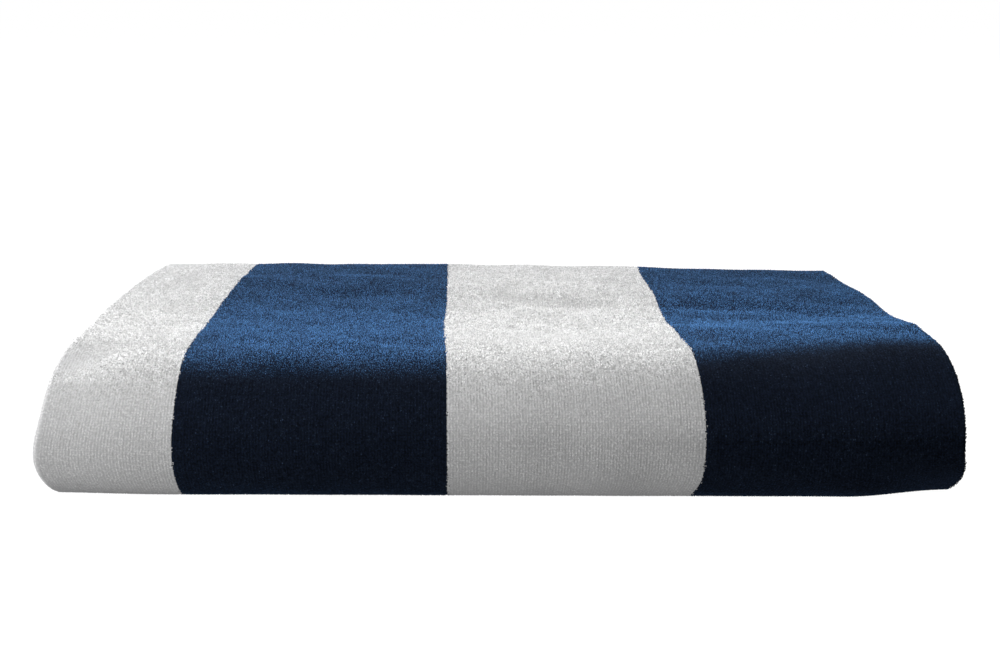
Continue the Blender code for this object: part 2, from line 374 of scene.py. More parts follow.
def roundEdge(ply, reach, outside):
    # The rounded selvage of a ply, from its outer face round to its inner one
    bulge = towelFold["plyThickness"]
    edge = reach - bulge / 2 + np.cos(selvageAngles) * bulge / 2
    half = (outside - pairIn) / 2
    return edge, ply * ((outside + pairIn) / 2 + half * np.sin(selvageAngles))


outerColumns = columnsTo(outerReach, clothMake["outerColumn"], True)
hiddenColumns = columnsTo(innerReach, clothMake["innerColumn"], False)
outerInside = columnsTo(outerReach, clothMake["innerColumn"], True)
foldAngles = np.linspace(90, -90, clothMake["foldPoints"] + 2)[1:-1] * math.pi / 180
innerFoldAngles = np.linspace(-90, 90, clothMake["innerFoldPoints"] + 2)[1:-1] * math.pi / 180


def sectionAt(leg, along):
    # The pair of plies cut across: x, offset, and each point's flat distance from the outer selvage
    full = hemFullness(leg, along)
    out = outerOffset(leg, along, outerColumns) + full
    foldOut = float(out[0])
    hiddenOut = pairOut - clothMake["pileInset"] + full
    into = pairIn - full
    parts = []

    def face(columns, offset, ply):
        flat = outerReach - columns if ply > 0 else outerReach + columns
        parts.append((faceStart + columns - foldArc, offset + 0 * columns, flat))

    face(outerColumns[::-1], out[::-1], 1)
    turning = foldOut * (1 + np.sin(foldAngles)) / 2 + hiddenOut * (1 - np.sin(foldAngles)) / 2
    parts.append((
        faceStart - turning * np.cos(foldAngles),
        turning * np.sin(foldAngles),
        outerReach - foldArc * np.sin(foldAngles),
    ))
    face(hiddenColumns, -hiddenOut, -1)
    edge, offset = roundEdge(-1, innerReach, hiddenOut)
    parts.append((faceStart + edge - foldArc, offset, outerReach + edge))
    face(hiddenColumns[::-1], -into, -1)
    parts.append((
        faceStart - into * np.cos(innerFoldAngles),
        into * np.sin(innerFoldAngles),
        outerReach - foldArc * np.sin(innerFoldAngles),
    ))
    face(outerInside, into, 1)
    edge, offset = roundEdge(1, outerReach, float(out[-1]))
    parts.append((faceStart + edge[::-1] - foldArc, offset[::-1], outerReach - edge[::-1]))
    return [np.concatenate(values) for values in zip(*parts)]


def endFaces(flat):
    # One face a stripe across an end of the towel, from the outside round to the inside
    outside = np.arange(len(outerColumns) + len(foldAngles) + len(hiddenColumns))
    onEdge = np.arange(len(selvageAngles))
    farEdge = outside[-1] + 1 + onEdge
    nearEdge = len(flat) - len(onEdge) + onEdge
    inside = np.arange(farEdge[-1] + 1, nearEdge[0])
    faces = []
    tolerance = 1e-6
    for low, high in zip((0, *stripeEnds), stripeEnds):
        within = [
            part[(flat[part] > low - tolerance) & (flat[part] < high + tolerance)]
            for part in (outside, inside)
        ]
        beyond = farEdge if high == stripeEnds[-1] else farEdge[:0]
        before = nearEdge if low == 0 else nearEdge[:0]
        faces.append(np.concatenate([within[0], beyond, within[1], before]))
    return faces


def slidTo(leg, along):
    # How far to the right a leg has slid in the stack
    first, last = leg["slides"]
    return first + (last - first) * smooth(along)


def clothRings():
    # Rings of points along the cloth, their flat places across its width, and where each runs
    rings, flats, runs = [], [], []
    for leg in legs:
        for along in stations(leg):
            x, offset, flat = sectionAt(leg, along)
            behind, z = placeOn(leg, along, offset)
            rings.append(settled(x + slidTo(leg, along), behind, z))
            flats.append(flat)
            runs.append(leg["run"] + along * leg["length"])
    return rings, flats, runs


def buildGround(materials):
    rings, flats, runs = clothRings()
    around = len(flats[0])
    points = np.concatenate(rings)
    points[:, 2] = np.maximum(points[:, 2], 0)
    ringStart = np.arange(len(rings) - 1)[:, None] * around
    place = np.arange(around)[None, :]
    after = (place + 1) % around
    nextRing = ringStart + around
    quads = np.stack([ringStart + place, ringStart + after, nextRing + after, nextRing + place], -1)
    quads = quads.reshape(-1, 4)
    ends = endFaces(flats[0])
    caps = [tuple(int(point) for point in face[::-1]) for face in ends]
    caps += [tuple(int(point) for point in face + (len(rings) - 1) * around) for face in ends]
    mesh = bpy.data.meshes.new("towelGround")
    mesh.from_pydata(points.tolist(), [], quads.tolist() + caps)
    for material in materials:
        mesh.materials.append(material)
    # Which stripe each face belongs to: white is material 1
    flatOf = np.concatenate(flats)
    stripe = np.searchsorted(stripeEnds, flatOf[quads].mean(1))
    stripe = np.concatenate([stripe, range(len(ends)), range(len(ends))])
    mesh.polygons.foreach_set("material_index", (stripe % 2).astype(np.int32))
    layer = mesh.uv_layers.new(name="clothRun")
    corners = np.empty(len(mesh.loops), np.int32)
    mesh.loops.foreach_get("vertex_index", corners)
    runOf = np.repeat(runs, around)
    uv = np.stack([flatOf[corners], runOf[corners]], -1)
    layer.uv.foreach_set("vector", uv.astype(np.float32).ravel())
    mesh.validate()
    mesh.shade_smooth()
    ground = bpy.data.objects.new("towelGround", mesh)
    bpy.context.scene.collection.objects.link(ground)
    print("ground weave:", len(mesh.polygons), "faces")
    return ground


pileMake = {
    "rib": 0.00124,  # two tufts side by side
    "row": 0.00110,
    "height": 0.00052,
    "heightSpread": 0.08,
    "acrossWidth": 0.00092,
    "alongWidth": 0.00130,
    "widthSpread": 0.12,
    "rootDepth": 0.00015,
    "lean": 0.16,  # towards the towel's near end, in radians, as sheared pile lies
    "leanSpread": 0.26,
    "spin": 0.5,
    "jitterAcross": 0.00016,
    "jitterAlong": 0.00036,
    "edgeStray": 0.00022,  # how far a stripe's outermost tufts stray over its edge
    "selvageGap": 0.0003,  # no column stands nearer to the selvage
    "selvageAngles": (75, 25, -25, -75),
    "notchDepth": 0.024,  # how far in under the top layers the pile is seen at the back
    "clumpHeight": 0.20,
    "clumpLimit": 2.2,
    "clumpRelief": 1.7,  # how strongly the clumps tilt the light on the pile
    "tuftTilt": 0.45,  # and each tuft by itself
    "softness": 0.85,  # how far a tuft is shaded like the nap round it
    "clumpTone": 0.6,  # how far a clump is lighter or darker
    "tuftTone": 0.8,  # and each tuft by itself
    "lightest": 0.85,  # where the pile stands open no tuft is lighter,
    "shadeFall": 1.3,  # and a few lie deep in shade
    "napBack": 0.60,  # how far the pile stands open, and its painted sheen, at the back of the top
    "napShoulder": 1.45,
    "shoulderSooner": 0.1,
    "combed": 0.05,  # and on the front, where it hangs smooth and takes painted shade
    "combStart": 0.0028,  # that starts so far past the line where the top ends, at the left
    "combEarlier": 0.0120,  # and so much sooner at the right
    "combSofter": 0.0045,  # where it also takes longer
    "combLength": {"navy": 0.0155, "white": 0.0300},
    "rightEnd": 0.19,
    "seed": 11,
    "foldSeed": 5,
    "selvageSeed": 6,
}
pileClumps = (  # weight, and how wide in rows along and columns across
    (0.85, 0.5, 0.6),
    (0.22, 3.0, 4.0),
)
clumpField = {"reach": 16, "margin": 20}  # in tufts
probes = {  # how far to either side the slope of the cloth is measured
    "run": 0.0005,
    "flat": 0.0005,
    "foldAngle": 0.05,
    "selvageAngle": 0.1,
    "out": 1e-4,
}
calmSpots = (  # x, y, half x, half y, share by which the tufts are more alike
    (0.020, -0.058, 0.070, 0.014, 0.50),
    (0.020, -0.098, 0.070, 0.016, 0.15),
    (-0.150, -0.045, 0.040, 0.016, 0.15),
)
paintedLightAndShadeSpots = (  # x, y, half x, half y, share by which the pile is ruffled up as painted light, or pressed flat as painted shade
    (-0.186, -0.083, 0.014, 0.017, -0.80),
    (-0.150, -0.078, 0.034, 0.022, -0.30),
    (-0.085, -0.069, 0.042, 0.009, 0.20),
    (0.020, -0.060, 0.045, 0.010, 0.10),
    (0.120, -0.072, 0.060, 0.010, -0.15),
    (0.030, 0.042, 0.060, 0.035, 0.24),
    (-0.152, -0.025, 0.042, 0.025, -0.13),
    (0.108, 0.014, 0.045, 0.020, 0.28),
    (-0.085, 0.030, 0.045, 0.030, 0.10),
    (0.158, -0.066, 0.030, 0.012, -0.12),
)


def evenShares(leg, offset):
    # Shares of a leg's length at which rows of tufts stand evenly, at this offset
    fine = np.linspace(0, 1, 241)
    behind, z = placeOn(leg, fine, np.full_like(fine, offset))
    lengths = np.append(0, np.cumsum(np.hypot(np.diff(behind), np.diff(z))))
    rows = max(round(lengths[-1] / pileMake["row"]), 1)
    return np.interp((np.arange(rows) + 0.5) * lengths[-1] / rows, lengths, fine)


def spotted(spots, x, y):
    return sum(
        share * hump(x - atX, halfX) * hump(y - atY, halfY)
        for atX, atY, halfX, halfY, share in spots
    )


def napAndPaintedLightOf(leg, along, x, y, dye):
    # How far the pile stands open: less at the back of the top, fully at the shoulder,
    # and combed down on the front. The same value paints a sheen on the top and shade on the front
    back, shoulder, combed = pileMake["napBack"], pileMake["napShoulder"], pileMake["combed"]
    if leg["name"] == "front7to0":
        standingAndLit, past = shoulder, along * leg["length"]
    elif leg["name"] == "pass7":
        standingAndLit = back + (shoulder - back) * smooth(along + pileMake["shoulderSooner"])
        past = (along - 1) * leg["length"]
    else:
        return np.full_like(x, back if leg["name"] == "back6to7" else combed)
    rightwards = smooth(x / pileMake["rightEnd"])
    softer = pileMake["combSofter"] * rightwards**2
    start = pileMake["combStart"] - pileMake["combEarlier"] * rightwards - softer
    length = pileMake["combLength"][dye] + softer
    standingAndLit = standingAndLit - (standingAndLit - combed) * smooth((past - start) / length)
    return standingAndLit * (1 + spotted(paintedLightAndShadeSpots, x, y))


def patchOn(leg, shares, across, step, place, dye):
    # A grid of places on the cloth, each with the way out, the way along the cloth, its nap with
    # its painted light and shade, and its calm. place(along, across, more) gives x and the offset,
    # "more" above the face
    def at(along, across, more=0.0):
        x, offset = place(along, across, more)
        behind, z = placeOn(leg, along, offset)
        return settled(x + slidTo(leg, along), behind, z)

    along, across = shares[:, None], across[None, :]
    nudge = probes["run"] / leg["length"]
    middle = at(along, across)
    alongCloth = at(along + nudge, across) - at(along - nudge, across)
    normal = np.cross(at(along, across + step) - at(along, across - step), alongCloth)
    normal /= np.linalg.norm(normal, axis=-1, keepdims=True)
    alongCloth /= np.linalg.norm(alongCloth, axis=-1, keepdims=True)
    inward = (normal * (at(along, across, probes["out"]) - middle)).sum(-1, keepdims=True) < 0
    x, y = middle[..., 0], middle[..., 1]
    return {
        "place": middle,
        "out": np.where(inward, -normal, normal),
        "along": alongCloth,
        "napAndPaintedLight": napAndPaintedLightOf(leg, along, x, y, dye),
        "calm": spotted(calmSpots, x, y),
    }


def facePatch(leg, shares, flats, dye):
    # On the outer ply's outer face, at these flat distances from the fold
    def place(along, flat, more):
        return faceStart + flat - foldArc, outerOffset(leg, along, flat) + more

    return patchOn(leg, shares, flats, probes["flat"], place, dye)


def foldPatch(leg, shares, angles):
    # Round the long fold at the left
    radius = pairOut - (clothMake["pileInset"] if leg["name"] != "pass0" else 0.0)

    def place(along, angle, more):
        return faceStart - (radius + more) * np.cos(angle), (radius + more) * np.sin(angle)

    return patchOn(leg, shares, angles, probes["foldAngle"], place, "white")


def edgePatch(leg, shares, ply, angles):
    # Round a selvage, from the outer face of its ply to the inner one
    edge = faceStart + (outerReach if ply > 0 else innerReach) - foldArc
    bulge = towelFold["plyThickness"] / 2
    half = (pairOut - clothMake["pileInset"] - pairIn) / 2

    def place(along, angle, more):
        offset = ply * (pairIn + half + (half + more) * np.sin(angle))
        return edge - bulge + (bulge + more) * np.cos(angle), offset

    return patchOn(leg, shares, angles, probes["selvageAngle"], place, "navy")


def setInputs(node, values):
    for name, value in values.items():
        node.inputs[name].default_value = value


def addNode(tree, kind, *values, **settings):
    # A node with its settings, and its first inputs given as numbers or links
    made = tree.nodes.new(kind)
    for name, value in settings.items():
        setattr(made, name, value)
    for socket, value in zip(made.inputs, values):
        if value is None:
            continue
        if isinstance(value, bpy.types.NodeSocket):
            tree.links.new(value, socket)
        else:
            socket.default_value = value
    return made


def maths(tree, operation, *values):
    return addNode(tree, "ShaderNodeMath", *values, operation=operation).outputs[0]


def groupWith(treeKind, name, inputs, outputs):
    group = bpy.data.node_groups.new(name, treeKind)
    for way, sockets in (("INPUT", inputs), ("OUTPUT", outputs)):
        for socket, kind in sockets.items():
            group.interface.new_socket(socket, in_out=way, socket_type="NodeSocket" + kind)
    given, result = group.nodes.new("NodeGroupInput"), group.nodes.new("NodeGroupOutput")
    return group, given.outputs, result.inputs


def pileTree():
    # Geometry nodes that stand one leaning tuft on every point, facing out of the cloth
    sizes = ("Height", "Across", "Along", "Lean", "Lean Spread", "Height Spread", "Clump Height")
    inputs = {"Geometry": "Geometry", **dict.fromkeys(sizes, "Float")}
    inputs.update({"Seed": "Int", "Material": "Material"})
    outputs = {"Geometry": "Geometry"}
    tree, given, result = groupWith("GeometryNodeTree", "terryPile", inputs, outputs)
    link = tree.links.new

    def node(kind, *values, **settings):
        return addNode(tree, kind, *values, **settings)

    def stored(name, kind):
        return node("GeometryNodeInputNamedAttribute", name, data_type=kind).outputs["Attribute"]

    def chance(low, high, seedStep):
        made = node("FunctionNodeRandomValue", None, None, low, high, data_type="FLOAT")
        link(maths(tree, "ADD", given["Seed"], seedStep), made.inputs["Seed"])
        return made.outputs[1]

    def rotated(before, *turns):
        turn = node("ShaderNodeCombineXYZ", *turns).outputs[0]
        turn = node("FunctionNodeEulerToRotation", turn).outputs[0]
        return node("FunctionNodeRotateRotation", before, turn, rotation_space="LOCAL").outputs[0]

    cone = node("GeometryNodeMeshCone", fill_type="NONE")
    setInputs(cone, {"Vertices": 3, "Radius Bottom": 0.5, "Radius Top": 0})
    link(given["Height"], cone.inputs["Depth"])
    place = node("GeometryNodeInputPosition").outputs[0]
    up = node("ShaderNodeSeparateXYZ", place).outputs["Z"]
    tip = node("GeometryNodeStoreNamedAttribute", cone.outputs["Mesh"], data_type="FLOAT")
    tip.domain = "POINT"
    tip.inputs["Name"].default_value = "pileTip"
    link(maths(tree, "DIVIDE", up, given["Height"]), tip.inputs["Value"])

    upright = node("FunctionNodeAlignRotationToVector", axis="Z")
    link(stored("clothOut", "FLOAT_VECTOR"), upright.inputs["Vector"])
    turned = node("FunctionNodeAlignRotationToVector", upright.outputs[0], axis="X", pivot_axis="Z")
    link(stored("clothAlong", "FLOAT_VECTOR"), turned.inputs["Vector"])
    most = given["Lean Spread"]
    least = maths(tree, "MULTIPLY", most, -1)
    forward = maths(tree, "ADD", chance(least, most, 2), given["Lean"])
    leaned = rotated(turned.outputs[0], chance(least, most, 1), forward)
    spun = rotated(leaned, 0.0, 0.0, chance(-pileMake["spin"], pileMake["spin"], 3))
    wide = chance(1 - pileMake["widthSpread"], 1 + pileMake["widthSpread"], 4)
    lowest = maths(tree, "SUBTRACT", 1, given["Height Spread"])
    highest = maths(tree, "ADD", 1, given["Height Spread"])
    clump = maths(tree, "MULTIPLY", stored("clump", "FLOAT"), given["Clump Height"])
    size = node(
        "ShaderNodeCombineXYZ",
        maths(tree, "MULTIPLY", wide, given["Along"]),
        maths(tree, "MULTIPLY", wide, given["Across"]),
        maths(tree, "MULTIPLY", chance(lowest, highest, 5), maths(tree, "EXPONENT", clump)),
    )

    stand = node("GeometryNodeInstanceOnPoints", given["Geometry"])
    link(tip.outputs["Geometry"], stand.inputs["Instance"])
    link(spun, stand.inputs["Rotation"])
    link(size.outputs[0], stand.inputs["Scale"])
    whole = node("GeometryNodeRealizeInstances", stand.outputs["Instances"])
    finish = node("GeometryNodeSetMaterial", whole.outputs["Geometry"])
    link(given["Material"], finish.inputs["Material"])
    link(finish.outputs["Geometry"], result["Geometry"])
    return tree


def clumpsOf(shape, draw):
    # How far each tuft of a grid stands out from the pile, alone and in wider clumps
    reach, margin = clumpField["reach"], clumpField["margin"]
    total = np.zeros(shape)
    for weight, alongSpread, acrossSpread in pileClumps:
        field = draw.normal(0, 1, (shape[0] + 2 * margin, shape[1] + 2 * margin))
        for axis, spread in enumerate((alongSpread, acrossSpread)):
            kernel = hump(np.arange(-reach, reach + 1), spread * math.sqrt(2))
            kernel /= np.sqrt((kernel**2).sum())
            field = np.apply_along_axis(np.convolve, axis, field, kernel, "same")
        total += weight * field[margin:-margin, margin:-margin]
    return np.clip(total, -pileMake["clumpLimit"], pileMake["clumpLimit"])


def napFacing(patch, clump):
    # The way out of the nap's own uneven surface, which the tips of the clumps make
    napAndPaintedLight = np.minimum(patch["napAndPaintedLight"], 1) * (1 - patch["calm"])
    relief = pileMake["height"] * pileMake["clumpRelief"] * napAndPaintedLight
    relief = relief * np.exp(pileMake["clumpHeight"] * clump * napAndPaintedLight)
    tips = patch["place"] + patch["out"] * relief[..., None]
    facing = np.cross(np.gradient(tips, axis=1), np.gradient(tips, axis=0))
    facing /= np.linalg.norm(facing, axis=-1, keepdims=True)
    inward = (facing * patch["out"]).sum(-1, keepdims=True) < 0
    return np.where(inward, -facing, facing)


def strayOf(shape, edges):
    # How far each tuft strays across its column, more in the columns at these edges
    stray = np.full(shape, pileMake["jitterAcross"])
    stray[:, list(edges)] += pileMake["edgeStray"]
    return stray


def joined(parts, *row):
    # Arrays of several patches end to end, as rows of this size
    return np.concatenate([np.reshape(part, (-1, *row)) for part in parts])


def tuftPoints(name, patches, seed, edges):
    # Bare points where the tufts stand, with the ways, nap (with its painted light and shade) and
    # tone that each tuft takes on
    draw = np.random.default_rng(pileMake["seed"] + seed)
    clumps = [clumpsOf(patch["napAndPaintedLight"].shape, draw) for patch in patches]
    facing = joined([napFacing(patch, clump) for patch, clump in zip(patches, clumps)], 3)
    places, out, alongs = [
        joined([patch[part] for patch in patches], 3) for part in ("place", "out", "along")
    ]
    napAndPaintedLight, calm = [joined([patch[part] for patch in patches]) for part in ("napAndPaintedLight", "calm")]
    stray = joined([strayOf(clump.shape, edges) for clump in clumps], 1)
    clump = joined(clumps)
    across = np.cross(out, alongs)
    ruffled, lively = np.minimum(napAndPaintedLight, 1), 1 - calm
    for way in (across, alongs):
        tilt = pileMake["tuftTilt"] * ruffled * lively * draw.normal(0, 1, napAndPaintedLight.shape)
        facing = facing + way * tilt[:, None]
    facing /= np.linalg.norm(facing, axis=1, keepdims=True)
    places = places - out * pileMake["rootDepth"]
    places = places + across * stray * draw.normal(0, 1, (len(places), 1))
    places = places + alongs * draw.uniform(-1, 1, (len(places), 1)) * pileMake["jitterAlong"]
    lighter = pileMake["clumpTone"] * clump + draw.normal(0, pileMake["tuftTone"], clump.shape)
    shaded = pileMake["lightest"] - np.logaddexp(0, -pileMake["shadeFall"] * lighter)
    tone = (lighter + (shaded - lighter) * ruffled) * lively
    mesh = bpy.data.meshes.new(name + "Points")
    mesh.from_pydata(places.tolist(), [], [])
    for attribute, values in (("clothOut", out), ("clothAlong", alongs), ("napOut", facing)):
        layer = mesh.attributes.new(attribute, "FLOAT_VECTOR", "POINT")
        layer.data.foreach_set("vector", values.astype(np.float32).ravel())
    for attribute, values in (("clump", clump * ruffled), ("tuftTone", tone), ("napAndPaintedLight", napAndPaintedLight)):
        layer = mesh.attributes.new(attribute, "FLOAT", "POINT")
        layer.data.foreach_set("value", values.astype(np.float32))
    points = bpy.data.objects.new(name + "Points", mesh)
    bpy.context.scene.collection.objects.link(points)
    return points


def growTufts(points, material, seed):
    # The mesh of all tufts. The points go once it is made
    grow = points.modifiers.new("grow", "NODES")
    grow.node_group = pileNodes
    values = {
        "Height": pileMake["height"],
        "Across": pileMake["acrossWidth"],
        "Along": pileMake["alongWidth"],
        "Lean": pileMake["lean"],
        "Lean Spread": pileMake["leanSpread"],
        "Height Spread": pileMake["heightSpread"],
        "Clump Height": pileMake["clumpHeight"],
        "Seed": seed,
        "Material": material,
    }
    for item in pileNodes.interface.items_tree:
        if item.in_out == "INPUT" and item.name in values:
            grow[item.identifier] = values[item.name]
    evaluated = points.evaluated_get(bpy.context.evaluated_depsgraph_get())
    tufts = bpy.data.meshes.new_from_object(evaluated)
    mesh = points.data
    bpy.data.objects.remove(points)
    bpy.data.meshes.remove(mesh)
    return tufts


def layTufts(tufts):
    # What the towel lies on presses the pile flat, and tufts are shaded partly like the nap
    count = len(tufts.vertices)
    at, around, own = [np.empty(count * 3, np.float32) for _ in range(3)]
    tufts.vertices.foreach_get("co", at)
    at[2::3] = np.maximum(at[2::3], 0)
    tufts.vertices.foreach_set("co", at)
    tufts.attributes["napOut"].data.foreach_get("vector", around)
    tufts.vertex_normals.foreach_get("vector", own)
    napAndPaintedLight = np.empty(count, np.float32)
    tufts.attributes["napAndPaintedLight"].data.foreach_get("value", napAndPaintedLight)
    soft = 1 - (1 - pileMake["softness"]) * np.minimum(napAndPaintedLight, 1)[:, None]
    mixed = around.reshape(-1, 3) * soft + own.reshape(-1, 3) * (1 - soft)
    mixed /= np.linalg.norm(mixed, axis=1, keepdims=True)
    tufts.shade_smooth()
    tufts.normals_split_custom_set_from_vertices(mixed.tolist())
    for attribute in ("clothOut", "clothAlong", "napOut", "clump"):
        tufts.attributes.remove(tufts.attributes[attribute])


def standTufts(name, patches, dye, seed, edges=()):
    # A piece of pile, and a slot name to go with it
    points = tuftPoints(name, patches, seed, edges)
    count = len(points.data.vertices)
    tufts = growTufts(points, pileMaterials[dye], seed)
    tufts.name = name
    layTufts(tufts)
    piece = bpy.data.objects.new(name, tufts)
    bpy.context.scene.collection.objects.link(piece)
    print(name + ":", count, "tufts,", len(tufts.polygons), "faces")
    return piece, "terry_" + dye


def addGroup(tree, group, values):
    made = addNode(tree, "ShaderNodeGroup", node_tree=group)
    setInputs(made, values)
    return made.outputs


def tuftColour():
    # Colour of a tuft: painted shade, dark in the depth of the pile, lighter towards the tip by a
    # painted sheen where the nap stands open, and each tuft a little lighter or darker
    numbers = dict.fromkeys(("Depth", "Tone", "Combed Tone", "Patches"), "Float")
    inputs = {"Tip": "Color", "Shaded Root": "Color", **numbers}
    group, given, result = groupWith("ShaderNodeTree", "tuftColour", inputs, {"Colour": "Color"})
    tip, tone, napAndPaintedLight = [
        addNode(group, "ShaderNodeAttribute", attribute_name=name).outputs["Fac"]
        for name in ("pileTip", "tuftTone", "napAndPaintedLight")
    ]
    standingAndLit = maths(group, "MULTIPLY", maths(group, "POWER", tip, given["Depth"]), napAndPaintedLight)
    shadedAndLit = addNode(group, "ShaderNodeMix", standingAndLit, data_type="RGBA")
    group.links.new(given["Shaded Root"], shadedAndLit.inputs[6])
    group.links.new(given["Tip"], shadedAndLit.inputs[7])
    spread = addNode(group, "ShaderNodeMix", napAndPaintedLight, None, given["Combed Tone"], given["Tone"])
    varied = maths(group, "POWER", spread.outputs[0], tone)
    where = addNode(group, "ShaderNodeTexCoord").outputs["Object"]
    cloud = addNode(group, "ShaderNodeTexNoise", where)
    setInputs(cloud, tuftClouds)
    patch = maths(group, "ADD", cloud.outputs["Fac"], -0.5)
    patchy = maths(group, "MULTIPLY_ADD", patch, given["Patches"], 1.0)
    scaled = addNode(group, "ShaderNodeVectorMath", shadedAndLit.outputs[2], operation="SCALE")
    group.links.new(maths(group, "MULTIPLY", varied, patchy), scaled.inputs["Scale"])
    group.links.new(scaled.outputs[0], result["Colour"])
    return group


def terryGrain():
    # The ground weave where no tufts stand on it: ribs along the cloth, broken up into loops, its
    # colour darkened by painted shade in the hollows between them
    inputs = {"Colour": "Color", "Hollow Shade": "Float", "Rib": "Float"}
    outputs = {"Colour": "Color", "Height": "Float"}
    group, given, result = groupWith("ShaderNodeTree", "terryGrain", inputs, outputs)
    run = addNode(group, "ShaderNodeUVMap", uv_map="clothRun").outputs[0]
    across = addNode(group, "ShaderNodeSeparateXYZ", run).outputs["X"]
    turn = maths(group, "MULTIPLY", maths(group, "DIVIDE", across, given["Rib"]), 2 * math.pi)
    loops = addNode(group, "ShaderNodeTexVoronoi", run)
    setInputs(loops, {"Scale": weaveLook["loops"], "Randomness": weaveLook["loopScatter"]})
    apart = loops.outputs["Distance"]
    loop = addNode(group, "ShaderNodeMapRange", apart, 0.0, weaveLook["loopReach"], 1.0, 0.0)
    rib = maths(group, "COSINE", turn)
    height = maths(group, "MULTIPLY_ADD", rib, weaveLook["ribHeight"], loop.outputs[0])
    spread = (height, weaveLook["deepest"], 1.0, given["Hollow Shade"], 1.0)
    lit = addNode(group, "ShaderNodeMapRange", *spread)
    scaled = addNode(group, "ShaderNodeVectorMath", given["Colour"], operation="SCALE")
    group.links.new(lit.outputs[0], scaled.inputs["Scale"])
    group.links.new(scaled.outputs[0], result["Colour"])
    group.links.new(height, result["Height"])
    return group


clothShine = {"Roughness": 0.95, "Specular IOR Level": 0.06}
tuftClouds = {"Scale": 55, "Detail": 3}
weaveLook = {
    "loops": 1050,  # a metre
    "loopScatter": 0.85,
    "loopReach": 0.75,
    "ribHeight": 0.25,
    "deepest": -0.2,
    "bump": {"Strength": 0.8, "Distance": 0.0004},
}
dyes = {
    "navy": {
        # tip: the navy brightened into a painted sheen; root: painted shade in the depth of the
        # pile
        "tip": (0.088, 0.244, 0.545),
        "root": (0.0043, 0.0053, 0.0078),
        "depth": 1.8,
        "tone": 2.1,  # how much the tufts differ where the pile stands open
        "combedTone": 1.8,
        "patches": 0.25,
        "weave": (0.010, 0.016, 0.034),
        # hollow: how dark the painted shade in the hollows of the bare weave is
        "hollowShade": 0.35,
        "sheen": 0.11,
        "sheenRoughness": 0.34,
        "sheenTint": (0.16, 0.42, 1.0),
    },
    "white": {
        # root: painted shade in the depth of the pile
        "tip": (0.90, 0.90, 0.90),
        "root": (0.51, 0.51, 0.52),
        "depth": 0.9,
        "tone": 1.6,
        "combedTone": 1.0,
        "patches": 0.06,
        "weave": (0.80, 0.80, 0.80),
        # hollow: how dark the painted shade in the hollows of the bare weave is
        "hollowShade": 0.62,
        "sheen": 0.1,
        "sheenRoughness": 0.5,
        "sheenTint": (1.0, 1.0, 1.0),
    },
}


def terryShader(name, dye):
    material = bpy.data.materials.new(name)
    material.use_nodes = True
    shader = material.node_tree.nodes["Principled BSDF"]
    sheen = {
        "Sheen Weight": dye["sheen"],
        "Sheen Roughness": dye["sheenRoughness"],
        "Sheen Tint": (*dye["sheenTint"], 1),
    }
    setInputs(shader, {**clothShine, **sheen})
    return material, material.node_tree, shader


def pileMaterial(name, dye, group):
    material, tree, shader = terryShader(name, dye)
    values = {
        "Tip": (*dye["tip"], 1),
        "Shaded Root": (*dye["root"], 1),
        "Depth": dye["depth"],
        "Tone": dye["tone"],
        "Combed Tone": dye["combedTone"],
        "Patches": dye["patches"],
    }
    colour = addGroup(tree, group, values)["Colour"]
    tree.links.new(colour, shader.inputs["Base Color"])
    return material


def groundMaterial(name, dye, group):
    material, tree, shader = terryShader(name, dye)
    values = {"Colour": (*dye["weave"], 1), "Hollow Shade": dye["hollowShade"], "Rib": pileMake["rib"]}
    grain = addGroup(tree, group, values)
    tree.links.new(grain["Colour"], shader.inputs["Base Color"])
    bump = addNode(tree, "ShaderNodeBump")
    setInputs(bump, weaveLook["bump"])
    tree.links.new(grain["Height"], bump.inputs["Height"])
    tree.links.new(bump.outputs["Normal"], shader.inputs["Normal"])
    return material


tuftGroup, grainGroup = tuftColour(), terryGrain()
pileMaterials = {
    "navy": pileMaterial("pileNavy", dyes["navy"], tuftGroup),
    "white": pileMaterial("pileWhite", dyes["white"], tuftGroup),
}
groundNavy = groundMaterial("groundNavy", dyes["navy"], grainGroup)
groundWhite = groundMaterial("groundWhite", dyes["white"], grainGroup)
print("shaders: pile and ground weave, navy and white")

ground = buildGround([groundNavy, groundWhite])

pileNodes = pileTree()
columnStep = pileMake["rib"] / 2
columns = np.arange(foldArc + columnStep / 2, outerReach - pileMake["selvageGap"], columnStep)
stripeOfColumn = np.searchsorted(stripeEnds, outerReach - columns)
faceShares = {name: evenShares(legOf[name], pairOut) for name in seenLegs}
notchShares = evenShares(legOf["pass3"], pairOut)
faceShares["pass3"] = notchShares[notchShares * legOf["pass3"]["length"] < pileMake["notchDepth"]]
stripePiles = (  # name, stripe from the outer selvage, columns that border on another stripe
    ("pileWhiteLeft", 3, (-1,)),
    ("pileNavyLeft", 2, (0, -1)),
    ("pileWhiteRight", 1, (0, -1)),
    ("pileNavyRight", 0, (0,)),
)
pieces = []  # each with a slot name
for name, stripe, edges in stripePiles:
    flats = columns[stripeOfColumn == stripe]
    dye = "white" if stripe % 2 else "navy"
    patches = [facePatch(legOf[leg], shares, flats, dye) for leg, shares in faceShares.items()]
    pieces.append(standTufts(name, patches, dye, stripe, edges))

foldStep = columnStep / pairOut
roundFold = np.arange(-math.pi / 2 + foldStep / 2, math.pi / 2, foldStep)
patches = [foldPatch(leg, evenShares(leg, 0.0), roundFold) for leg in legs]
pieces.append(standTufts("pileFold", patches, "white", pileMake["foldSeed"]))
roundSelvage = np.array(pileMake["selvageAngles"]) * math.pi / 180
patches = [
    edgePatch(leg, evenShares(leg, 0.0), ply, roundSelvage) for leg in legs for ply in (1, -1)
]
pieces.append(standTufts("pileSelvage", patches, "navy", pileMake["selvageSeed"]))

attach(ground, "root")
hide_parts("towel")
for piece, slot in pieces:
    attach(piece, "root")


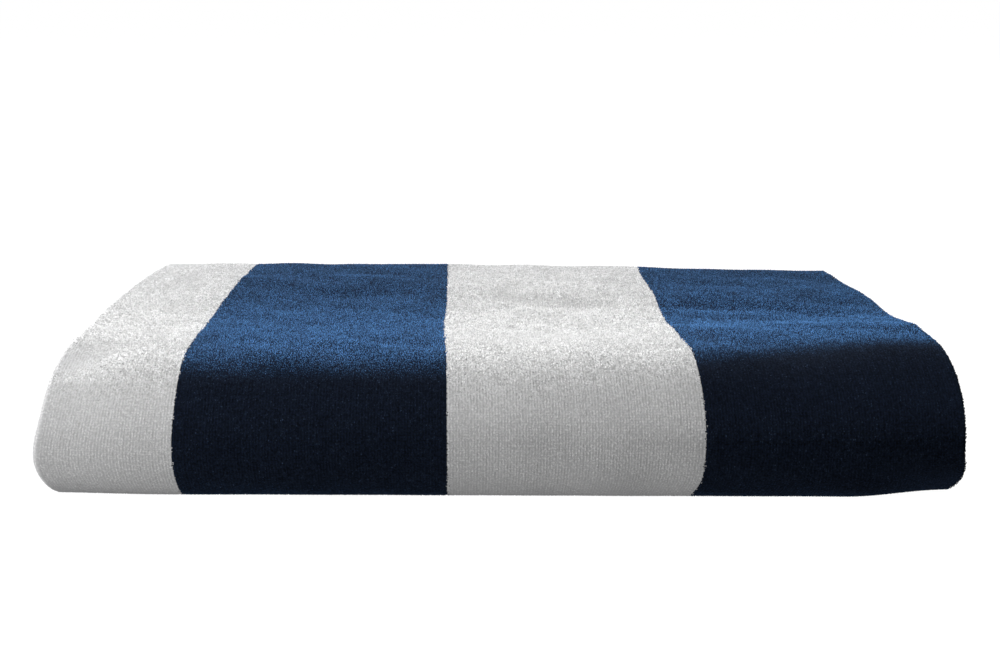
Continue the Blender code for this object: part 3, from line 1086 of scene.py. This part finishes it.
studio = {
    "floorReach": 300,
    "ceiling": 0.0,  # it gives no light itself
    "bounce": 0.42,  # what the pale floor sends back
    "horizon": 0.03,
}
paperLook = {
    "Base Color": (0.10, 0.10, 0.10, 1),
    "Roughness": 1.0,
    "Specular IOR Level": 0.0,
    "Emission Color": (1, 1, 1, 1),
    "Emission Strength": 1.0,
}
softboxes = (  # name, azimuth from behind the camera, elevation, distance, width, height, strength
    ("topLight", 0, 88, 3.0, 1.5, 1.5, 0.41),
    ("highBackLight", 180, 70, 3.0, 2.0, 0.8, 0.10),
    ("backLeftLight", -165, 35, 3.0, 1.5, 0.8, 0.74),
    ("backRightLight", 160, 35, 3.0, 1.5, 0.8, 0.22),
    ("leftRimLight", -100, 2, 1.0, 0.3, 0.12, 0.75),
    ("frontLeftLight", -37, 20, 0.8, 0.5, 0.4, 0.49),
)
floorMesh = bpy.data.meshes.new("floor")
reach = studio["floorReach"]
floorCorners = [(-reach, -reach, 0), (reach, -reach, 0), (reach, reach, 0), (-reach, reach, 0)]
floorMesh.from_pydata(floorCorners, [], [(0, 1, 2, 3)])
floor = bpy.data.objects.new("floor", floorMesh)
bpy.context.scene.collection.objects.link(floor)
floor.visible_diffuse = False
floor.visible_glossy = False
paper = bpy.data.materials.new("paleFloor")
paper.use_nodes = True
setInputs(paper.node_tree.nodes["Principled BSDF"], paperLook)
floorMesh.materials.append(paper)


def softbox(name, azimuth, elevation, distance, width, height, strength):
    # A lamp that lights a surface facing it as much as a sky of this strength would
    light = bpy.data.lights.new(name, "AREA")
    light.shape = "RECTANGLE"
    light.size, light.size_y = width, height
    light.energy = strength * (math.pi * distance) ** 2
    lamp = bpy.data.objects.new(name, light)
    turn, rise = math.radians(azimuth), math.radians(elevation)
    level = math.cos(rise)
    way = np.array([math.sin(turn) * level, -math.cos(turn) * level, math.sin(rise)])
    lamp.location = way * distance
    lamp.rotation_euler = (math.pi / 2 - rise, 0, turn)
    bpy.context.scene.collection.objects.link(lamp)


for box in softboxes:
    softbox(*box)
print("studio:", len(softboxes), "softboxes and the floor")

world = bpy.data.worlds.new("studio")
world.use_nodes = True
bpy.context.scene.world = world
skyTree = world.node_tree
sky = skyTree.nodes["Background"]
looking = addNode(skyTree, "ShaderNodeTexCoord").outputs["Generated"]
up = addNode(skyTree, "ShaderNodeSeparateXYZ", looking).outputs["Z"]
horizon = studio["horizon"]
spread = (up, -horizon, horizon, studio["bounce"], studio["ceiling"])
dome = addNode(skyTree, "ShaderNodeMapRange", *spread).outputs[0]
seen = addNode(skyTree, "ShaderNodeLightPath").outputs["Is Camera Ray"]
backdrop = addNode(skyTree, "ShaderNodeMix", seen, None, dome, 1.0, data_type="FLOAT")
skyTree.links.new(backdrop.outputs[0], sky.inputs["Strength"])
sky.inputs["Color"].default_value = (1, 1, 1, 1)

cameraStand = {
    "x": -0.0144,
    "fromFront": 0.5205,
    "height": 0.210,
    "lookingDown": 14.42,
    "lens": 48.6,
    "shift": 0.032,
    "sensor": 36,
    "nearest": 0.01,
}
cameraData = bpy.data.cameras.new("camera")
camera = bpy.data.objects.new("camera", cameraData)
bpy.context.scene.collection.objects.link(camera)
camera.location = (cameraStand["x"], cadLow[1] - cameraStand["fromFront"], cameraStand["height"])
camera.rotation_euler = (math.radians(90 - cameraStand["lookingDown"]), 0, 0)
cameraData.lens = cameraStand["lens"]
cameraData.sensor_width = cameraStand["sensor"]
cameraData.shift_x = cameraStand["shift"]
cameraData.clip_start = cameraStand["nearest"]
bpy.context.scene.camera = camera
bpy.context.scene.view_settings.view_transform = "Standard"
